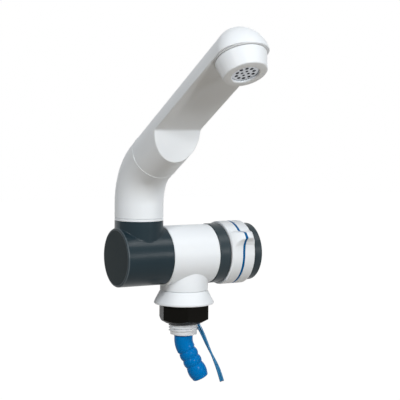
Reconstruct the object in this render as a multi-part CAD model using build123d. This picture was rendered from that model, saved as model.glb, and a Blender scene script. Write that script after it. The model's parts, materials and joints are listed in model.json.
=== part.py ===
from build123d import *
import math
import os

# Microswitch tap for a caravan or boat sink. Everything is in millimetres.
# The origin is the centre of the base flange's underside, +Z points up along the mounting shank,
# the cross barrel lies along X with the knob at +X, and the spout points to -Y.

# Driving dimensions: cross barrel
axis_height = 34.0
barrel_radius = 20.0
barrel_length = 34.4
barrel_edge = 1.0
barrel_saddle = 1.2
body_radius = 20.5
body_left = -17.9
body_right = 17.5
body_edge = 0.4
body_saddle = 0.5
joint_gap = 0.15

# Driving dimensions: stub, base flange and mounting shank
stub_radius = 16.7
stub_bore = 12.4
flange_height = 9.3
flange_top_radius = 16.8
flange_rim_radius = 20.8
flange_rim_height = 1.2
thread_radius = 10.48
thread_pitch = 1.814
thread_depth = 1.16
thread_end = -20.6
thread_top = 1.6
shank_nose_radius = 9.3
shank_nose_end = -22.4
shank_head_radius = 13.9
shank_head_height = 5.1
spigot_top = 16.4
pipe_radius = 5.85
pipe_bore = 3.4
slot_angle = -30.0
slot_inner = 7.2
slot_width = 3.6
slot_end = -20.0

# Driving dimensions: lock nut and gasket
nut_across_flats = 31.5
nut_height = 12.7
nut_top = -0.7
nut_turn = 11.5
nut_land_radius = 13.1
nut_chamfer_angle = 30.0
gasket_radius = 18.35
gasket_depth = 1.4
gasket_stand = 0.6

# Driving dimensions: hose tail
tail_lean = 27.2
tail_knee = -28.6
tail_bend_radius = 14.0
tail_root_radius = 6.5
tail_root_end = 4.2
tail_valley_radius = 5.85
tail_rib_radius = 6.6
tail_valleys = (5.6, 11.3, 16.8)
tail_last_peak = 19.8
tail_taper_start = 25.7
tail_taper_radius = 5.85
tail_length = 27.3
tail_tip_radius = 4.8

# Driving dimensions: switch cable, two conductors side by side
conductor_radius = 0.8
cable_radius = 1.6
cable_start = -4.0
cable_route = (
    (8.85, -4.05), (8.85, -13.6), (12.75, -20.2), (17.1, -30.5), (21.95, -40.5), (24.95, -47.4),
    (27.2, -55.1),
)

# Driving dimensions: fold joint inside the barrel
fold_spindle_radius = 10.0
fold_clearance = 0.06
fold_pocket = 8.05
fold_cap_radius = 18.4
fold_cap_thickness = 3.0
fold_flange_radius = 14.0
fold_flange_left = -14.0
fold_flange_thickness = 3.0
fold_water_bore = 5.5
o_ring_section = 0.8

# Driving dimensions: riser, elbow and arm of the spout
tube_radius = 16.55
tube_bore = 12.0
socket_radius = 16.55
socket_top = 59.1
stem_radius = 12.0
stem_bottom = 47.9
stem_bore = 8.0
elbow_height = 89.6
elbow_bend_radius = 33.0
arm_rise = 29.4
seam_at = 27.9
seam_gap = 0.12
spigot_length = 10.0
spigot_radius = 13.6
arm_wall = 2.5
arm_edge = 0.5
head_at = 148.0
dome_lead = 3.4
dome_length = 12.4
step_root = 62.7
step_lean = 37.8
step_fillet = 2.5
swivel_range = 110.0

# Driving dimensions: outlet
head_seat_radius = 15.7
head_seat_height = 0.7
neck_radius = 11.0
neck_length = 6.2
collar_gap = 0.3
collar_top_radius = 15.3
collar_end_radius = 13.1
collar_length = 11.0
collar_dome = 0.3
collar_edge = 0.4
aerator_radius = 8.0
aerator_flange_radius = 10.8

# Driving dimensions: bonnet and knob
bonnet_radius = 20.9
bonnet_right = 25.9
knob_gap = 0.3
grip_radius = 22.3
grip_right = 44.4
grip_edge = 0.8
sleeve_radius = 18.9
cap_radius = 20.3
cap_right = 51.8
cap_edge = 1.2
tab_top = 16.1
tab_back = -12.0
tab_under = ((-21.95, 3.6), (-22.75, 8.0), (-24.3, 10.7))
tab_corner = (-26.3, 12.3)
tab_shoulder = (-22.9, 16.1)
tab_crest = ((26.1, 21.8), (31.3, 27.0), (37.0, 29.3), (44.3, 22.0))
stripe_at = 35.3
stripe_width = 1.4
stripe_depth = 0.6

# Driving dimensions: valve cartridge and microswitch
cartridge_radius = 12.5
cartridge_left = -10.9
chamber_radius = 9.6
spindle_radius = 4.0
drive_radius = 3.0
drive_flat = 2.2
disc_thickness = 2.5
cam_base = 4.3
cam_rise = 0.8
knob_travel = 90.0
switch_left = 19.9
switch_thickness = 5.8
switch_length = 12.8
switch_height = 6.5
switch_top = 6.1
knob_screw_radius = 1.25
running_clearance = 0.06
seat_clearance = 0.05

# Values worked out from the sizes above
riser_x = body_left - joint_gap - barrel_length / 2
barrel_left = riser_x - barrel_length / 2
barrel_right = riser_x + barrel_length / 2
fold_bore_end = barrel_left + fold_pocket
bonnet_left = body_right
grip_left = bonnet_right + knob_gap
nut_bottom = nut_top - nut_height
switch_right = switch_left + switch_thickness

os.makedirs("parts", exist_ok=True)


def save(name, shape):
    """Write one named piece."""
    export_step(shape, f"parts/{name}.step")
    print(f"{name}: {len(shape.solids())} solid(s), {shape.volume:.1f} mm3, valid {shape.is_valid}")


def along_x(radius, start, end):
    """Cylinder round the barrel axis."""
    length = end - start
    solid = Cylinder(radius, length, align=(Align.CENTER, Align.CENTER, Align.MIN))
    return Pos(start, 0, axis_height) * Rot(0, 90, 0) * solid


def along_z(radius, start, end, x=0.0, y=0.0):
    """Upright cylinder at a point of the plan."""
    solid = Cylinder(radius, end - start, align=(Align.CENTER, Align.CENTER, Align.MIN))
    return Pos(x, y, start) * solid


def ring_x(outer, inner, start, end):
    """Ring round the barrel axis."""
    return along_x(outer, start, end) - along_x(inner, start - 1, end + 1)


def ring_z(outer, inner, start, end, x=0.0):
    """Upright ring."""
    return along_z(outer, start, end, x) - along_z(inner, start - 1, end + 1, x)


def o_ring_x(groove_radius, x):
    """O-ring that lies in a groove of a shaft on the barrel axis."""
    ring = Torus(groove_radius + o_ring_section, o_ring_section)
    return Pos(x, 0, axis_height) * Rot(0, 90, 0) * ring


def turned(points, place):
    """Solid of revolution from radius and height pairs round the local Z axis of a place."""
    wire = Polyline(*[(radius, 0, height) for radius, height in points], close=True)
    return place * revolve(make_face(wire), Axis.Z, 360)


def in_slot_plane(distance, height, side=0.0):
    """Point of the upright plane that holds the cable, side steps being square to it."""
    angle = math.radians(slot_angle)
    x = distance * math.cos(angle) - side * math.sin(angle)
    y = distance * math.sin(angle) + side * math.cos(angle)
    return Vector(x, y, height)


# Frame of the arm: local X is the barrel's X, local Y is the arm's upper side, local Z runs along it
arm_angle = math.radians(arm_rise)
arm_frame = Plane(
    origin=(riser_x, 0, elbow_height), x_dir=(1, 0, 0), z_dir=(0, -math.cos(arm_angle), math.sin(arm_angle))
).location


def arm_cylinder(radius, start, end):
    """Cylinder along the arm, in the arm's own frame."""
    return Pos(0, 0, start) * Cylinder(radius, end - start, align=(Align.CENTER, Align.CENTER, Align.MIN))


def below_step(inset):
    """Space under the arm past the step face, in the arm's frame, its walls moved in by an inset."""
    lean = math.radians(step_lean)
    reach = 2 * tube_radius
    corner = step_root - inset * math.cos(lean) + inset * (1 - math.sin(lean)) * math.tan(lean)
    outline = Polyline(
        (0, inset, corner),
        (0, inset, corner + 2 * head_at),
        (0, -reach, corner + 2 * head_at),
        (0, -reach, corner - (reach + inset) * math.tan(lean)),
        close=True,
    )
    prism = extrude(make_face(outline), amount=2 * tube_radius, dir=(1, 0, 0), both=True)
    across = prism.edges().filter_by(Axis.X)
    root_edge = min(across, key=lambda edge: abs(edge.center().Z - corner))
    return fillet(root_edge, step_fillet)


def dome(radius, length):
    """Rounded end of the arm, in the arm's own frame."""
    profile = Wire([
        EllipticalCenterArc((0, 0), radius, length, start_angle=0, arc_size=90).edge(),
        Line((0, length), (0, 0)).edge(),
        Line((0, 0), (radius, 0)).edge(),
    ])
    return Pos(0, 0, head_at + dome_lead) * Rot(90, 0, 0) * revolve(make_face(profile), Axis.Y, 360)


# White cross body with its stub
stub_foot_height = flange_height + 0.1
body_shell = along_x(body_radius, body_left, body_right)
body_shell += along_z(stub_radius, stub_foot_height, axis_height)
body_shell = fillet(body_shell.edges().filter_by(GeomType.BSPLINE), body_saddle)
body_ends = [edge for edge in body_shell.edges().filter_by(GeomType.CIRCLE) if edge.radius == body_radius]
body_shell = chamfer(body_ends, body_edge)
cartridge_seat = 9.0
body_bore = 14.5
seat_bore = 17.2
body_shell -= along_x(seat_bore, cartridge_seat, body_right + 1)
body_shell -= along_x(body_bore, fold_flange_left, cartridge_seat + 1)
body_shell -= along_x(fold_spindle_radius + seat_clearance, body_left - 1, 0)
body_shell -= along_z(stub_bore, 0, axis_height)
stub_foot = body_shell.edges().filter_by(GeomType.CIRCLE).group_by(Axis.Z)[0]
body_shell = chamfer(stub_foot.sort_by(SortBy.RADIUS)[-1], body_edge)
save("body_shell", body_shell)

# Cone-shaped base flange that hides the deck hole
head_top = flange_height - 0.1
head_bottom = head_top - shank_head_height
base_flange = turned(
    [
        (thread_radius + 0.25, gasket_depth),
        (gasket_radius + seat_clearance, gasket_depth),
        (gasket_radius + seat_clearance, 0),
        (flange_rim_radius - 0.3, 0),
        (flange_rim_radius, 0.3),
        (flange_rim_radius, flange_rim_height),
        (flange_top_radius, flange_height - body_edge),
        (flange_top_radius - body_edge, flange_height),
        (shank_head_radius + 0.1, flange_height),
        (shank_head_radius + 0.1, head_bottom - seat_clearance),
        (thread_radius + 0.25, head_bottom - seat_clearance),
    ],
    Pos(0, 0, 0),
)
save("base_flange", base_flange)

# Rubber gasket in the flange's underside
deck_gasket = ring_z(gasket_radius, thread_radius + 0.5, -gasket_stand, gasket_depth - seat_clearance)
save("deck_gasket", deck_gasket)

# Hollow mounting shank with a helical pipe thread, a cable slot and a head that the body sits on
thread_root = thread_radius - thread_depth
thread_path = Helix(pitch=thread_pitch, height=thread_top - thread_end - thread_pitch, radius=thread_root)
thread_section = Plane(origin=thread_path @ 0, z_dir=thread_path % 0, x_dir=(1, 0, 0)) * Polygon(
    (-0.12, -0.43 * thread_pitch),
    (thread_depth, -0.08 * thread_pitch),
    (thread_depth, 0.08 * thread_pitch),
    (-0.12, 0.43 * thread_pitch),
    align=None,
)
thread_ridge = sweep(thread_section, path=thread_path, is_frenet=True)
threaded_shank = along_z(thread_root, thread_end, thread_top + 0.5)
threaded_shank += Pos(0, 0, thread_end + thread_pitch / 2) * thread_ridge
lead_in = turned(
    [
        (0, thread_end),
        (shank_nose_radius, thread_end),
        (shank_nose_radius + 8, thread_end + 8),
        (shank_nose_radius + 8, 4),
        (0, 4),
    ],
    Pos(0, 0, 0),
)
threaded_shank = threaded_shank & lead_in
threaded_shank += along_z(thread_radius, thread_top, head_bottom + 1)
threaded_shank += along_z(shank_head_radius, head_bottom, head_top)
threaded_shank += along_z(stub_bore - seat_clearance, head_top, spigot_top)
nose_lip = pipe_radius + 0.9
threaded_shank += turned(
    [
        (0, thread_end + 1),
        (shank_nose_radius, thread_end + 1),
        (shank_nose_radius, thread_end - 1),
        (nose_lip, shank_nose_end),
        (0, shank_nose_end),
    ],
    Pos(0, 0, 0),
)
threaded_shank -= along_z(pipe_radius + seat_clearance, shank_nose_end - 1, spigot_top + 1)
slot_length = thread_radius + 0.12 - slot_inner
cable_slot = Rot(0, 0, slot_angle) * Pos(slot_inner, 0, slot_end) * Box(
    slot_length, slot_width, spigot_top + 1 - slot_end, align=(Align.MIN, Align.CENTER, Align.MIN)
)
threaded_shank -= cable_slot
save("threaded_shank", threaded_shank)

# Black hexagonal lock nut, its corners cut back by a cone below
nut_corner_radius = nut_across_flats / 2 / math.cos(math.radians(30))
nut_bore = thread_radius + 0.22
hexagon = Rot(0, 0, nut_turn) * RegularPolygon(nut_corner_radius, 6)
lock_nut = Pos(0, 0, nut_bottom) * extrude(hexagon, amount=nut_height)
cone_rise = (nut_corner_radius - nut_land_radius) * math.tan(math.radians(nut_chamfer_angle))
top_cut = 0.7
nut_envelope = turned(
    [
        (0, nut_bottom),
        (nut_land_radius, nut_bottom),
        (nut_corner_radius, nut_bottom + cone_rise),
        (nut_corner_radius, nut_top - top_cut),
        (nut_corner_radius - 2 * top_cut, nut_top),
        (0, nut_top),
    ],
    Pos(0, 0, 0),
)
lock_nut = lock_nut & nut_envelope
lock_nut -= along_z(nut_bore, nut_bottom - 1, nut_top + 1)
nut_lead = 1.7
lock_nut -= turned(
    [
        (0, nut_bottom - 1),
        (nut_bore + nut_lead + 1, nut_bottom - 1),
        (nut_bore, nut_bottom + nut_lead),
        (0, nut_bottom + nut_lead),
    ],
    Pos(0, 0, 0),
)
save("lock_nut", lock_nut)

# Blue hose tail: a pipe up through the shank and a leaning barbed end below it
tail_angle = math.radians(tail_lean)
pipe_top = 24.2
knee = Vector(0, 0, tail_knee)
tail_direction = in_slot_plane(math.sin(tail_angle), -math.cos(tail_angle))
pipe_path = FilletPolyline(
    (0, 0, shank_nose_end), knee, knee + tail_direction * tail_root_end, radius=tail_bend_radius
)
tail_pipe = along_z(pipe_radius, shank_nose_end, pipe_top)
tail_pipe += sweep(Pos(0, 0, shank_nose_end) * Circle(tail_root_radius), path=pipe_path)
tail_frame = Plane(origin=knee, z_dir=tail_direction).location
first = tail_valleys[0]
last = tail_valleys[-1]
rib_lines = [
    Line((0, 0, tail_root_end - 0.1), (tail_root_radius, 0, tail_root_end - 0.1)),
    Line((tail_root_radius, 0, tail_root_end - 0.1), (tail_valley_radius, 0, first)),
]
for low, high in zip(tail_valleys[:-1], tail_valleys[1:]):
    peak = low + 0.55 * (high - low)
    rib_lines.append(
        ThreePointArc((tail_valley_radius, 0, low), (tail_rib_radius, 0, peak), (tail_valley_radius, 0, high))
    )
taper_top = (tail_taper_radius, 0, tail_taper_start)
last_peak = (tail_rib_radius, 0, tail_last_peak)
rib_lines.append(ThreePointArc((tail_valley_radius, 0, last), last_peak, taper_top))
tip_bulge = (tail_taper_radius - 0.35, 0, tail_length - 0.5)
rib_lines.append(ThreePointArc(taper_top, tip_bulge, (tail_tip_radius, 0, tail_length)))
rib_lines.append(Line((tail_tip_radius, 0, tail_length), (0, 0, tail_length)))
rib_lines.append(Line((0, 0, tail_length), (0, 0, tail_root_end - 0.1)))
tail_barbs = revolve(make_face(Wire(rib_lines)), Axis.Z, 360)
bore_path = FilletPolyline((0, 0, pipe_top + 1), knee, knee + tail_direction * (tail_length + 1),
                           radius=tail_bend_radius)
o_groove = 21.9
hose_tail = tail_pipe + tail_frame * tail_barbs
hose_tail -= sweep(Pos(0, 0, pipe_top + 1) * Circle(pipe_bore), path=bore_path)
inlet_section = 0.5
inlet_groove_radius = pipe_radius - 2 * inlet_section
hose_tail -= ring_z(pipe_radius + 1, inlet_groove_radius, o_groove - 0.7, o_groove + 0.7)
save("hose_tail", hose_tail)
inlet_o_ring = Pos(0, 0, o_groove) * Torus(inlet_groove_radius + inlet_section, inlet_section)
save("inlet_o_ring", inlet_o_ring)

# Fold spindle: a hollow shaft, fixed in the body, that the dark barrel turns on
spindle_end = fold_bore_end - 0.1
fold_flange_right = fold_flange_left + fold_flange_thickness
port_width = 9.0
port_radius = fold_spindle_radius - 1.0
water_end = riser_x - 3.0
screw_radius = 2.5
fold_spindle = along_x(fold_spindle_radius, spindle_end, fold_flange_left + 1)
fold_spindle += along_x(fold_flange_radius, fold_flange_left, fold_flange_right)
fold_spindle -= along_x(fold_water_bore, water_end, fold_flange_right + 1)
port_left = riser_x - port_width / 2
fold_spindle -= ring_x(fold_spindle_radius + 1, port_radius, port_left, port_left + port_width)
for quarter in range(4):
    fold_spindle -= Pos(riser_x, 0, axis_height) * Rot(90 * quarter, 0, 0) * Cylinder(
        2.6, port_radius + 2, align=(Align.CENTER, Align.CENTER, Align.MIN)
    )
groove_radius = fold_spindle_radius - 2 * o_ring_section
fold_ring_places = (barrel_right - 8.5, riser_x - 7.2)
for place in fold_ring_places:
    fold_spindle -= ring_x(fold_spindle_radius + 1, groove_radius, place - 1.1, place + 1.1)
fold_spindle -= along_x(screw_radius + seat_clearance, spindle_end - 1, spindle_end + 5.4)
save("fold_spindle", fold_spindle)
save("fold_o_rings", Compound([o_ring_x(groove_radius, place) for place in fold_ring_places]))

# Washer and screw that hold the barrel on its spindle
washer_radius = 12.3
washer_thickness = 1.4
washer_left = spindle_end - washer_thickness
fold_washer = ring_x(washer_radius, screw_radius + 0.2, washer_left, spindle_end)
save("fold_washer", fold_washer)
screw_head = 2.6
fold_screw = along_x(4.4, washer_left - screw_head, washer_left)
fold_screw += along_x(screw_radius, washer_left - 1, spindle_end + 5.0)
socket_depth = 1.6
hex_socket = Rot(0, 90, 0) * extrude(RegularPolygon(2.3, 6), amount=socket_depth)
fold_screw -= Pos(washer_left - screw_head, 0, axis_height) * hex_socket
save("fold_screw", fold_screw)

# Dark fold barrel with the socket that carries the spout
socket_floor = stem_bottom - 0.3
cap_floor = barrel_left + fold_cap_thickness + seat_clearance
fold_barrel = along_x(barrel_radius, barrel_left, barrel_right)
left_edge = fold_barrel.edges().filter_by(GeomType.CIRCLE).sort_by(Axis.X)[0]
fold_barrel = fillet(left_edge, barrel_edge)
fold_barrel += along_z(socket_radius, axis_height, socket_top, riser_x)
saddle = [edge for edge in fold_barrel.edges().filter_by(GeomType.BSPLINE) if edge.length > barrel_radius]
fold_barrel = fillet(saddle, barrel_saddle)
rim_edge = fold_barrel.edges().filter_by(GeomType.CIRCLE).sort_by(Axis.Z)[-1]
fold_barrel = chamfer(rim_edge, 0.3)
fold_barrel -= along_x(fold_spindle_radius + fold_clearance, fold_bore_end - 1, barrel_right + 1)
fold_barrel -= along_x(washer_radius + 0.5, cap_floor - 1, fold_bore_end)
fold_barrel -= along_x(fold_cap_radius + seat_clearance, barrel_left - 1, cap_floor)
fold_barrel -= along_z(stem_radius + running_clearance, socket_floor, socket_top + 1, riser_x)
fold_barrel -= along_z(fold_water_bore, axis_height, socket_top, riser_x)
grub_height = 53.6
grub_radius = 1.5
grub_tip_radius = 1.0
fold_barrel -= Pos(riser_x, 0, grub_height) * Rot(-90, 0, 0) * Cylinder(
    grub_radius + 0.02, 30, align=(Align.CENTER, Align.CENTER, Align.MIN)
)
save("fold_barrel", fold_barrel)
barrel_end_cap = along_x(fold_cap_radius, barrel_left, barrel_left + fold_cap_thickness)
save("barrel_end_cap", barrel_end_cap)

# White glide ring between socket and riser, and the grub screw that holds and limits the swivel
glide_top = socket_top + 1.5
swivel_ring = ring_z(tube_radius, stem_radius + running_clearance, socket_top, glide_top, riser_x)
glide_rims = swivel_ring.edges().filter_by(GeomType.CIRCLE).group_by(Axis.Z)[-1]
swivel_ring = chamfer(glide_rims.sort_by(SortBy.RADIUS)[-1], 0.3)
save("swivel_ring", swivel_ring)
stem_groove_depth = 1.1
tip_start = stem_radius - stem_groove_depth + 0.2
swivel_screw = Pos(riser_x, tip_start, grub_height) * Rot(-90, 0, 0) * Cylinder(
    grub_tip_radius, 2.0, align=(Align.CENTER, Align.CENTER, Align.MIN)
)
swivel_screw += Pos(riser_x, stem_radius + 0.2, grub_height) * Rot(-90, 0, 0) * Cylinder(
    grub_radius, socket_radius - stem_radius - 0.4, align=(Align.CENTER, Align.CENTER, Align.MIN)
)
save("swivel_screw", swivel_screw)

# Spout elbow: stem, riser, bend and the spigot that enters the arm
riser_bottom = glide_top + 0.1
arm_direction = Vector(0, -math.cos(arm_angle), math.sin(arm_angle))
elbow_corner = Vector(riser_x, 0, elbow_height)
elbow_path = FilletPolyline(
    (riser_x, 0, riser_bottom),
    elbow_corner,
    elbow_corner + arm_direction * seam_at,
    radius=elbow_bend_radius,
)
spout_elbow = sweep(Pos(riser_x, 0, riser_bottom) * Circle(tube_radius), path=elbow_path)
riser_foot = spout_elbow.edges().filter_by(GeomType.CIRCLE).sort_by(Axis.Z)[0]
spout_elbow = chamfer(riser_foot, 0.3)
spout_elbow += along_z(stem_radius, stem_bottom, riser_bottom + 1, riser_x)
spout_elbow += arm_frame * arm_cylinder(spigot_radius, seam_at - 1, seam_at + spigot_length)
wide_bore_start = riser_bottom + 3.0
elbow_bore_path = FilletPolyline(
    (riser_x, 0, wide_bore_start),
    elbow_corner,
    elbow_corner + arm_direction * (seam_at + spigot_length + 1),
    radius=elbow_bend_radius,
)
spout_elbow -= sweep(Pos(riser_x, 0, wide_bore_start) * Circle(tube_bore), path=elbow_bore_path)
spout_elbow -= along_z(stem_bore, stem_bottom - 1, wide_bore_start + 1, riser_x)
stem_ring_places = (stem_bottom + 2.2, stem_bottom + 9.2)
stem_groove = stem_radius - 2 * o_ring_section
for place in stem_ring_places:
    spout_elbow -= ring_z(stem_radius + 1, stem_groove, place - 1.0, place + 1.0, riser_x)
track_height = 2.4
tip_share = math.degrees(math.asin(grub_tip_radius / (stem_radius - stem_groove_depth)))
track_half = swivel_range + tip_share + 1.5
track_section = Polyline(
    (stem_radius - stem_groove_depth, 0, grub_height - track_height / 2),
    (stem_radius + 1, 0, grub_height - track_height / 2),
    (stem_radius + 1, 0, grub_height + track_height / 2),
    (stem_radius - stem_groove_depth, 0, grub_height + track_height / 2),
    close=True,
)
track = revolve(make_face(track_section), Axis.Z, 2 * track_half)
spout_elbow -= Pos(riser_x, 0, 0) * Rot(0, 0, 90 - track_half) * track
elbow_groove_at = seam_at + 5.0
elbow_groove_radius = spigot_radius - 1.2
elbow_groove = arm_cylinder(spigot_radius + 1, elbow_groove_at - 0.9, elbow_groove_at + 0.9)
elbow_groove -= arm_cylinder(elbow_groove_radius, elbow_groove_at - 2, elbow_groove_at + 2)
spout_elbow -= arm_frame * elbow_groove
save("spout_elbow", spout_elbow)
stem_o_rings = Compound([
    Pos(riser_x, 0, place) * Torus(stem_groove + o_ring_section, o_ring_section)
    for place in stem_ring_places
])
save("stem_o_rings", stem_o_rings)
elbow_o_ring = arm_frame * Pos(0, 0, elbow_groove_at) * Torus(elbow_groove_radius + 0.6, 0.6)
save("elbow_o_ring", elbow_o_ring)

# Spout arm: a round tube that steps to a half-round channel with a domed head, flat underneath
arm_start = seam_at + seam_gap
dome_at = head_at + dome_lead
arm_outside = arm_cylinder(tube_radius, arm_start, dome_at) + dome(tube_radius, dome_length)
arm_outside -= below_step(0.0)
flat_edges = [edge for edge in arm_outside.edges() if abs(edge.center().Y) < 0.01]
rim = [edge for edge in flat_edges if edge.center().Z > step_root + 8]
arm_outside = fillet(rim, arm_edge)
channel_radius = tube_radius - arm_wall
channel = arm_cylinder(channel_radius, seam_at + spigot_length + 0.3, dome_at)
channel += dome(channel_radius, dome_length - arm_wall)
channel -= below_step(arm_wall)
outlet_axis = Pos(0, 0, head_at) * Rot(90, 0, 0)
neck = outlet_axis * Pos(0, 0, -arm_wall) * Cylinder(
    neck_radius, neck_length + arm_wall, align=(Align.CENTER, Align.CENTER, Align.MIN)
)
neck_bore = outlet_axis * Pos(0, 0, -arm_wall - 2) * Cylinder(
    aerator_radius + 0.4, neck_length + arm_wall + 3, align=(Align.CENTER, Align.CENTER, Align.MIN)
)
head_seat = outlet_axis * Pos(0, 0, -arm_edge) * Cylinder(
    head_seat_radius, head_seat_height + arm_edge, align=(Align.CENTER, Align.CENTER, Align.MIN)
)
spout_arm = arm_outside - channel + neck + head_seat - neck_bore
spout_arm -= arm_cylinder(spigot_radius + seat_clearance, arm_start - 1, seam_at + spigot_length + 0.4)
save("spout_arm", arm_frame * spout_arm)

# Outlet collar, aerator cup, its mesh and its washer, all round the outlet axis
outlet_place = arm_frame * outlet_axis
collar_top = head_seat_height + collar_gap
collar_end = collar_top + collar_length
washer_top = neck_length + 0.05
flange_top = washer_top + 1.0
shoulder = flange_top + 1.1
dome_start = collar_end - collar_dome
dome_inner = aerator_radius + 0.6
dome_middle = (collar_end_radius + dome_inner) / 2
collar_side = Polyline(
    (neck_radius + 0.08, 0, collar_top),
    (collar_top_radius - collar_edge, 0, collar_top),
    (collar_top_radius, 0, collar_top + collar_edge),
    (collar_end_radius, 0, dome_start - collar_edge),
    (collar_end_radius - collar_edge, 0, dome_start),
)
collar_bottom = ThreePointArc(
    (collar_end_radius - collar_edge, 0, dome_start),
    (dome_middle, 0, collar_end - 0.25 * collar_dome),
    (dome_inner, 0, collar_end),
)
collar_inside = Polyline(
    (dome_inner, 0, collar_end),
    (aerator_radius + 0.1, 0, collar_end - 0.4),
    (aerator_radius + 0.1, 0, shoulder),
    (neck_radius + 0.08, 0, shoulder),
    (neck_radius + 0.08, 0, collar_top),
)
collar_wire = Wire([*collar_side.edges(), collar_bottom, *collar_inside.edges()])
outlet_collar = revolve(make_face(collar_wire), Axis.Z, 360)
save("outlet_collar", outlet_place * outlet_collar)

plate_low = collar_end - 1.1
plate_thickness = 0.9
aerator_wall = 0.9
aerator_cup = turned(
    [
        (aerator_radius - aerator_wall, flange_top + seat_clearance),
        (aerator_flange_radius, flange_top + seat_clearance),
        (aerator_flange_radius, shoulder - seat_clearance),
        (aerator_radius, shoulder - seat_clearance),
        (aerator_radius, plate_low),
        (0, plate_low),
        (0, plate_low - plate_thickness),
        (aerator_radius - aerator_wall, plate_low - plate_thickness),
    ],
    Pos(0, 0, 0),
)
spray_rings = ((2.1, 4, 0.85), (5.2, 10, 1.05))
for circle_radius, count, hole_radius in spray_rings:
    for turn in range(count):
        place = Rot(0, 0, 360 * turn / count) * Pos(circle_radius, 0, plate_low)
        aerator_cup -= place * Cylinder(hole_radius, 4)
save("aerator_cup", outlet_place * aerator_cup)
mesh_radius = aerator_radius - aerator_wall - 0.1
aerator_mesh = Pos(0, 0, flange_top + 0.9) * Cylinder(mesh_radius, 0.4)
mesh_pitch = 2.0
for row in range(-2, 3):
    for column in range(-2, 3):
        aerator_mesh -= Pos(row * mesh_pitch, column * mesh_pitch, flange_top + 0.9) * Cylinder(0.6, 2)
save("aerator_mesh", outlet_place * aerator_mesh)
aerator_washer = turned(
    [
        (aerator_radius + 0.6, washer_top),
        (aerator_flange_radius, washer_top),
        (aerator_flange_radius, flange_top),
        (aerator_radius + 0.6, flange_top),
    ],
    Pos(0, 0, 0),
)
save("aerator_washer", outlet_place * aerator_washer)

# Channel for the switch leads along the bottom of cartridge flange and bonnet
lead_radius_low = 12.8
lead_radius_high = 16.5
lead_channel_width = 5.8
lead_channel = Pos(0, 0, axis_height - (lead_radius_low + lead_radius_high) / 2) * Box(
    200, lead_channel_width, lead_radius_high - lead_radius_low
)

# Valve cartridge: body, fixed and moving ceramic discs, seal and gland nut
cartridge_flange_right = 13.0
cartridge_flange_radius = seat_bore - 0.1
fixed_left = -8.2
fixed_right = fixed_left + disc_thickness
moving_left = fixed_right + seat_clearance
moving_right = moving_left + disc_thickness
driver_left = moving_right + seat_clearance
gland_left = 6.5
gland_right = 14.4
cartridge_body = along_x(cartridge_radius, cartridge_left, cartridge_flange_right)
cartridge_body += along_x(cartridge_flange_radius, cartridge_seat + seat_clearance, cartridge_flange_right)
boss = along_z(7.2, axis_height - 13.5, axis_height - 9.0)
cartridge_body += boss
cartridge_body -= along_x(chamber_radius, fixed_left - seat_clearance, cartridge_flange_right + 1)
cartridge_body -= along_x(5.0, cartridge_left - 1, 0)
cartridge_body -= along_z(pipe_radius + seat_clearance, 0, axis_height)
cartridge_body -= lead_channel
seal_section = 0.7
seal_radius = 8.6
cartridge_body -= ring_x(seal_radius + seal_section + 0.05, seal_radius - seal_section - 0.05,
                         cartridge_left - 1, cartridge_left + 1.35)
save("cartridge_body", cartridge_body)
cartridge_seal = Pos(cartridge_left + seal_section - 0.08, 0, axis_height) * Rot(0, 90, 0) * Torus(
    seal_radius, seal_section
)
save("cartridge_seal", cartridge_seal)
fixed_disc = along_x(chamber_radius - 0.1, fixed_left, fixed_right)
moving_disc = along_x(chamber_radius - 0.3, moving_left, moving_right)
waterway = Pos(0, 0, 4.4) * Cylinder(2.6, 60, rotation=(0, 90, 0))
fixed_disc -= Pos(0, 0, axis_height) * waterway
moving_disc -= Pos(0, 4.4, axis_height) * Cylinder(2.6, 60, rotation=(0, 90, 0))
tongue_width = 3.0
tongue_depth = 0.9
tongue = Pos(moving_right, 0, axis_height) * Box(2 * tongue_depth, 15.0, tongue_width)
moving_disc -= Pos(moving_right, 0, axis_height) * Box(2 * tongue_depth + 0.1, 40, tongue_width + 0.1)
save("fixed_disc", fixed_disc)
save("moving_disc", moving_disc)
gland_nut = along_x(chamber_radius - 0.05, gland_left, gland_right)
gland_nut += along_x(12.0, cartridge_flange_right + seat_clearance, gland_right + 1.4)
gland_nut -= along_x(spindle_radius + running_clearance, gland_left - 1, gland_right + 3)
save("gland_nut", gland_nut)

# Valve spindle: driver, round shaft with two O-rings, and a flatted end for cam and knob
driver_right = driver_left + 2.0
drive_start = body_right - 0.5
drive_end = grip_right - 4.4
valve_spindle = along_x(8.4, driver_left, driver_right) + along_x(spindle_radius, driver_left, drive_start)
valve_spindle += tongue & along_x(chamber_radius - 1, moving_right - tongue_depth, driver_left + 1)
flatted = along_x(drive_radius, drive_start - 1, drive_end)
flat_cut = Pos(drive_start, 0, axis_height + drive_flat) * Box(
    60, 20, 10, align=(Align.MIN, Align.CENTER, Align.MIN)
)
valve_spindle += flatted - flat_cut
spindle_groove = spindle_radius - 1.2
spindle_ring_places = (8.6, 11.6)
for place in spindle_ring_places:
    valve_spindle -= ring_x(spindle_radius + 1, spindle_groove, place - 0.8, place + 0.8)
valve_spindle -= along_x(knob_screw_radius + 0.03, drive_end - 8, drive_end + 1)
save("valve_spindle", valve_spindle)
spindle_o_rings = Compound([
    Pos(place, 0, axis_height) * Rot(0, 90, 0) * Torus(spindle_groove + 0.6, 0.6)
    for place in spindle_ring_places
])
save("spindle_o_rings", spindle_o_rings)

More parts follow.
